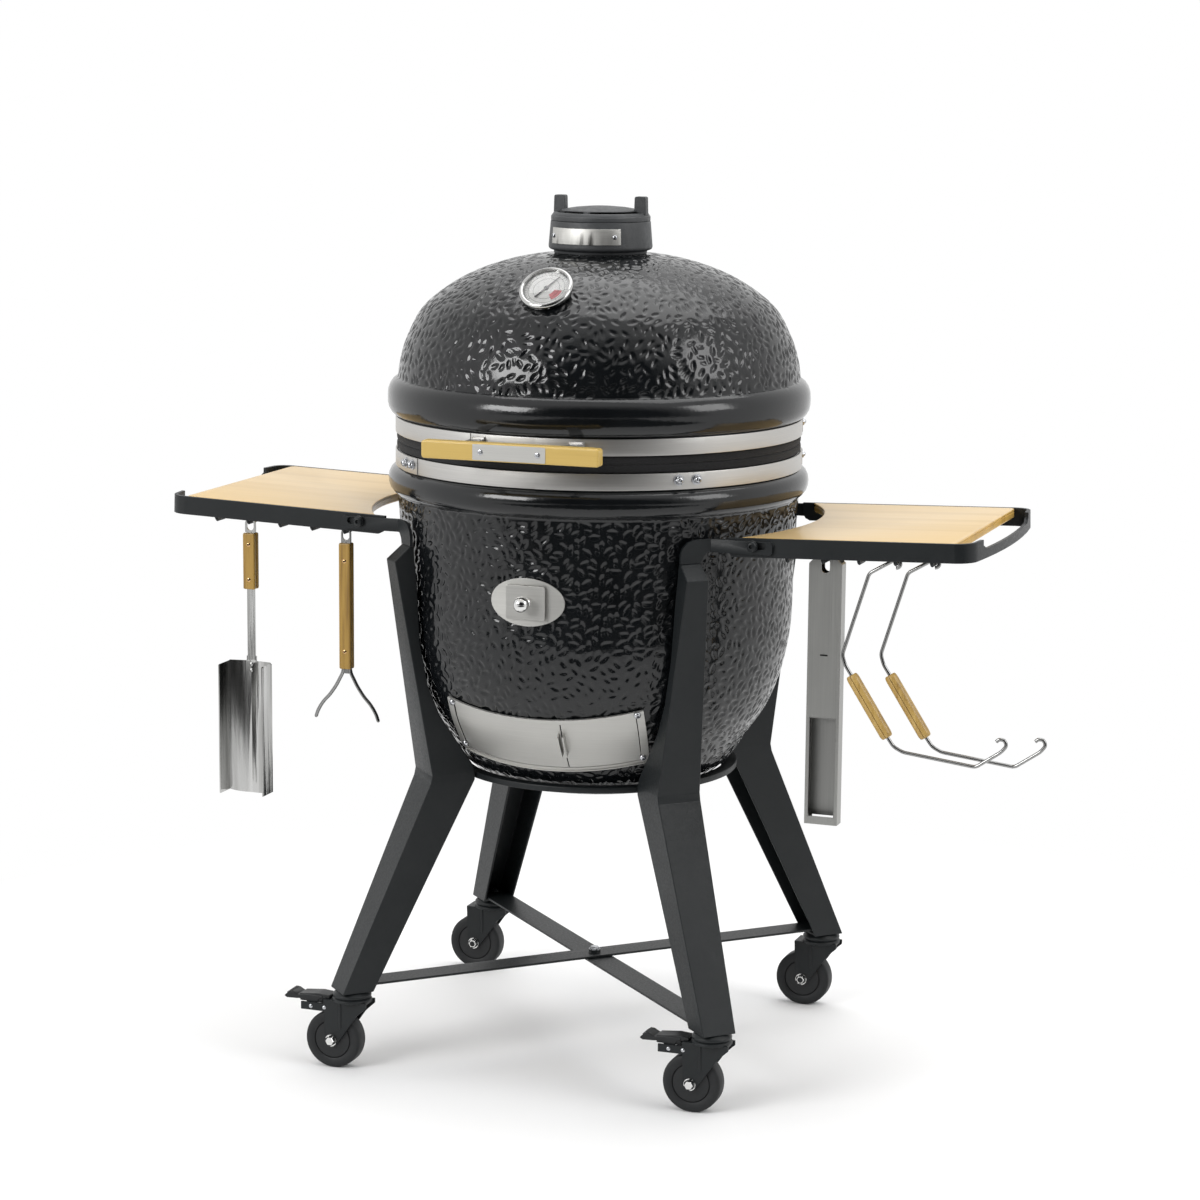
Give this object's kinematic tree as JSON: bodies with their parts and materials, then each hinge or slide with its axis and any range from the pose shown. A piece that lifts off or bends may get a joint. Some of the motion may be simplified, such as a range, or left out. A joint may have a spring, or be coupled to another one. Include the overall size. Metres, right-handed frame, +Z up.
{
  "type": "kamado ceramic grill",
  "caption": "Egg-shaped ceramic charcoal grill with a hinged lid, chimney damper and draft doors, on a wheeled four-legged cart with folding side tables and hanging tools.",
  "frame": {"origin": "middle of the footprint, on the floor; the kettle's vertical axis stands 41.0 mm to the -X side of it", "axes": "+Z up, -Y out of the front where the draft doors and the thermometer are, +X to the right seen from the front"},
  "size_m": [1.187, 0.645, 1.1244],
  "materials": {
    "glaze": "black gloss glaze over a pattern of small oval hollows, smooth at the rims",
    "firebrick": "unglazed buff firebrick",
    "band_steel": "satin stainless strip, brushed along its length",
    "tool_steel": "bright polished stainless",
    "gauge_steel": "polished rolled bezel",
    "powder_coat": "satin black powder coat on sheet steel",
    "iron": "dark grey painted casting",
    "felt": "black woven felt rope",
    "bamboo": "clear lacquered laminated bamboo",
    "grip_wood": "oiled hardwood scales",
    "needle_paint": "matt black",
    "caster_rubber": "dark grey hard rubber",
    "pedal_plastic": "black moulded plastic"
  },
  "bodies": {
    "cart": {"base_bowl": "glaze", "base_band": "band_steel", "base_gasket": "felt", "firebox": "firebrick", "fire_ring": "firebrick", "charcoal_grate": "iron", "cooking_grate": "tool_steel", "leg_front_left": "powder_coat", "leg_front_right": "powder_coat", "leg_rear_left": "powder_coat", "leg_rear_right": "powder_coat", "support_ring": "powder_coat", "brace_upper": "powder_coat", "brace_lower": "powder_coat", "draft_door_frame": "band_steel", "feed_port_plate": "band_steel", "table_arm_front_left": "powder_coat", "table_arm_front_right": "powder_coat", "table_arm_rear_left": "powder_coat", "table_arm_rear_right": "powder_coat", "hinge_base_bracket": "band_steel"},
    "lid": {"lid_dome": "glaze", "lid_band": "band_steel", "lid_gasket": "felt", "handle_bar": "bamboo", "handle_plate": "band_steel", "handle_bracket_left": "band_steel", "handle_bracket_right": "band_steel", "chimney_collar": "iron", "nameplate": "band_steel", "thermometer_case": "gauge_steel", "hinge_lid_bracket": "band_steel"},
    "damper": {"damper_cap": "iron"},
    "needle": {"thermometer_needle": "needle_paint"},
    "door_left": {"draft_door_left": "band_steel"},
    "door_right": {"draft_door_right": "band_steel"},
    "port": {"port_cover": "band_steel"},
    "table_left": {"table_frame_left": "powder_coat", "table_board_left": "bamboo"},
    "table_right": {"table_frame_right": "powder_coat", "table_board_right": "bamboo"},
    "ash_scoop": {"scoop": "tool_steel", "scoop_handle": "grip_wood"},
    "grate_lifter": {"lifter": "tool_steel", "lifter_handle": "grip_wood"},
    "feeder": {"chip_feeder": "tool_steel"},
    "wire_inner": {"wire_handle_inner": "tool_steel", "wire_grip_inner": "grip_wood"},
    "wire_outer": {"wire_handle_outer": "tool_steel", "wire_grip_outer": "grip_wood"},
    "fork_front_left": {"caster_fork_front_left": "powder_coat"},
    "wheel_front_left": {"caster_wheel_front_left": "caster_rubber"},
    "pedal_left": {"brake_pedal_left": "pedal_plastic"},
    "fork_front_right": {"caster_fork_front_right": "powder_coat"},
    "wheel_front_right": {"caster_wheel_front_right": "caster_rubber"},
    "pedal_right": {"brake_pedal_right": "pedal_plastic"},
    "fork_rear_left": {"caster_fork_rear_left": "powder_coat"},
    "wheel_rear_left": {"caster_wheel_rear_left": "caster_rubber"},
    "fork_rear_right": {"caster_fork_rear_right": "powder_coat"},
    "wheel_rear_right": {"caster_wheel_rear_right": "caster_rubber"}
  },
  "joints": [
    {"name": "lid_hinge", "type": "hinge", "parent": "cart", "child": "lid", "pos_m": [-0.04098, 0.3065, 0.806], "axis": [-1, 0, 0], "range_deg": [0, 65]},
    {"name": "damper_turn", "type": "hinge", "parent": "lid", "child": "damper", "pos_m": [-0.04098, 0, 1.095], "axis": [0, 0, 1], "range_deg": [0, 60]},
    {"name": "needle_turn", "type": "hinge", "parent": "lid", "child": "needle", "pos_m": [-0.04098, -0.193, 1.015], "axis": [0, -0.6691, 0.7431], "range_deg": [-100, 100]},
    {"name": "draft_left_slide", "type": "hinge", "parent": "cart", "child": "door_left", "pos_m": [-0.04098, 0.0147, 0.5487], "axis": [0, -0.4067, 0.9135], "range_deg": [-20, 0]},
    {"name": "draft_right_slide", "type": "hinge", "parent": "cart", "child": "door_right", "pos_m": [-0.04098, 0.0147, 0.5487], "axis": [0, -0.4067, 0.9135], "range_deg": [0, 18]},
    {"name": "port_pull", "type": "slide", "parent": "cart", "child": "port", "axis": [0, -1, 0], "range_m": [0, 0.06]},
    {"name": "table_left_fold", "type": "hinge", "parent": "cart", "child": "table_left", "pos_m": [-0.30618, 0, 0.7085], "axis": [0, -1, 0], "range_deg": [0, 60]},
    {"name": "table_right_fold", "type": "hinge", "parent": "cart", "child": "table_right", "pos_m": [0.22422, 0, 0.7085], "axis": [0, 1, 0], "range_deg": [0, 35]},
    {"name": "scoop_hang", "type": "hinge", "parent": "table_left", "child": "ash_scoop", "pos_m": [-0.47447, -0.146, 0.69347], "axis": [0, -1, 0], "range_deg": [-60, 0]},
    {"name": "lifter_hang", "type": "hinge", "parent": "table_left", "child": "grate_lifter", "pos_m": [-0.33685, -0.146, 0.68891], "axis": [0, -1, 0], "range_deg": [-60, 0]},
    {"name": "feeder_hang", "type": "hinge", "parent": "table_right", "child": "feeder", "pos_m": [0.30926, -0.1405, 0.69071], "axis": [0, 1, 0], "range_deg": [-35, 0]},
    {"name": "wire_inner_hang", "type": "hinge", "parent": "table_right", "child": "wire_inner", "pos_m": [0.40101, -0.1472, 0.69375], "axis": [0, 1, 0], "range_deg": [-35, 0]},
    {"name": "wire_outer_hang", "type": "hinge", "parent": "table_right", "child": "wire_outer", "pos_m": [0.44688, -0.1354, 0.69528], "axis": [0, 1, 0], "range_deg": [-35, 0]},
    {"name": "swivel_front_left", "type": "hinge", "parent": "cart", "child": "fork_front_left", "pos_m": [-0.28656, -0.24558, 0.095], "axis": [0, 0, 1], "continuous": true},
    {"name": "roll_front_left", "type": "hinge", "parent": "fork_front_left", "child": "wheel_front_left", "pos_m": [-0.30986, -0.24558, 0.0379], "axis": [0, 1, 0], "continuous": true},
    {"name": "brake_left", "type": "hinge", "parent": "fork_front_left", "child": "pedal_left", "pos_m": [-0.32656, -0.24558, 0.092], "axis": [0, -1, 0], "range_deg": [0, 10]},
    {"name": "swivel_front_right", "type": "hinge", "parent": "cart", "child": "fork_front_right", "pos_m": [0.2046, -0.24558, 0.095], "axis": [0, 0, 1], "continuous": true},
    {"name": "roll_front_right", "type": "hinge", "parent": "fork_front_right", "child": "wheel_front_right", "pos_m": [0.1813, -0.24558, 0.0379], "axis": [0, 1, 0], "continuous": true},
    {"name": "brake_right", "type": "hinge", "parent": "fork_front_right", "child": "pedal_right", "pos_m": [0.1646, -0.24558, 0.092], "axis": [0, -1, 0], "range_deg": [0, 10]},
    {"name": "swivel_rear_left", "type": "hinge", "parent": "cart", "child": "fork_rear_left", "pos_m": [-0.28656, 0.24558, 0.095], "axis": [0, 0, 1], "continuous": true},
    {"name": "roll_rear_left", "type": "hinge", "parent": "fork_rear_left", "child": "wheel_rear_left", "pos_m": [-0.30986, 0.24558, 0.0379], "axis": [0, 1, 0], "continuous": true},
    {"name": "swivel_rear_right", "type": "hinge", "parent": "cart", "child": "fork_rear_right", "pos_m": [0.2046, 0.24558, 0.095], "axis": [0, 0, 1], "continuous": true},
    {"name": "roll_rear_right", "type": "hinge", "parent": "fork_rear_right", "child": "wheel_rear_right", "pos_m": [0.1813, 0.24558, 0.0379], "axis": [0, 1, 0], "continuous": true}
  ],
  "couplings": [
    {"joint": "scoop_hang", "follows": "table_left_fold", "ratio": -1},
    {"joint": "lifter_hang", "follows": "table_left_fold", "ratio": -1},
    {"joint": "feeder_hang", "follows": "table_right_fold", "ratio": -1},
    {"joint": "wire_inner_hang", "follows": "table_right_fold", "ratio": -1},
    {"joint": "wire_outer_hang", "follows": "table_right_fold", "ratio": -1}
  ]
}
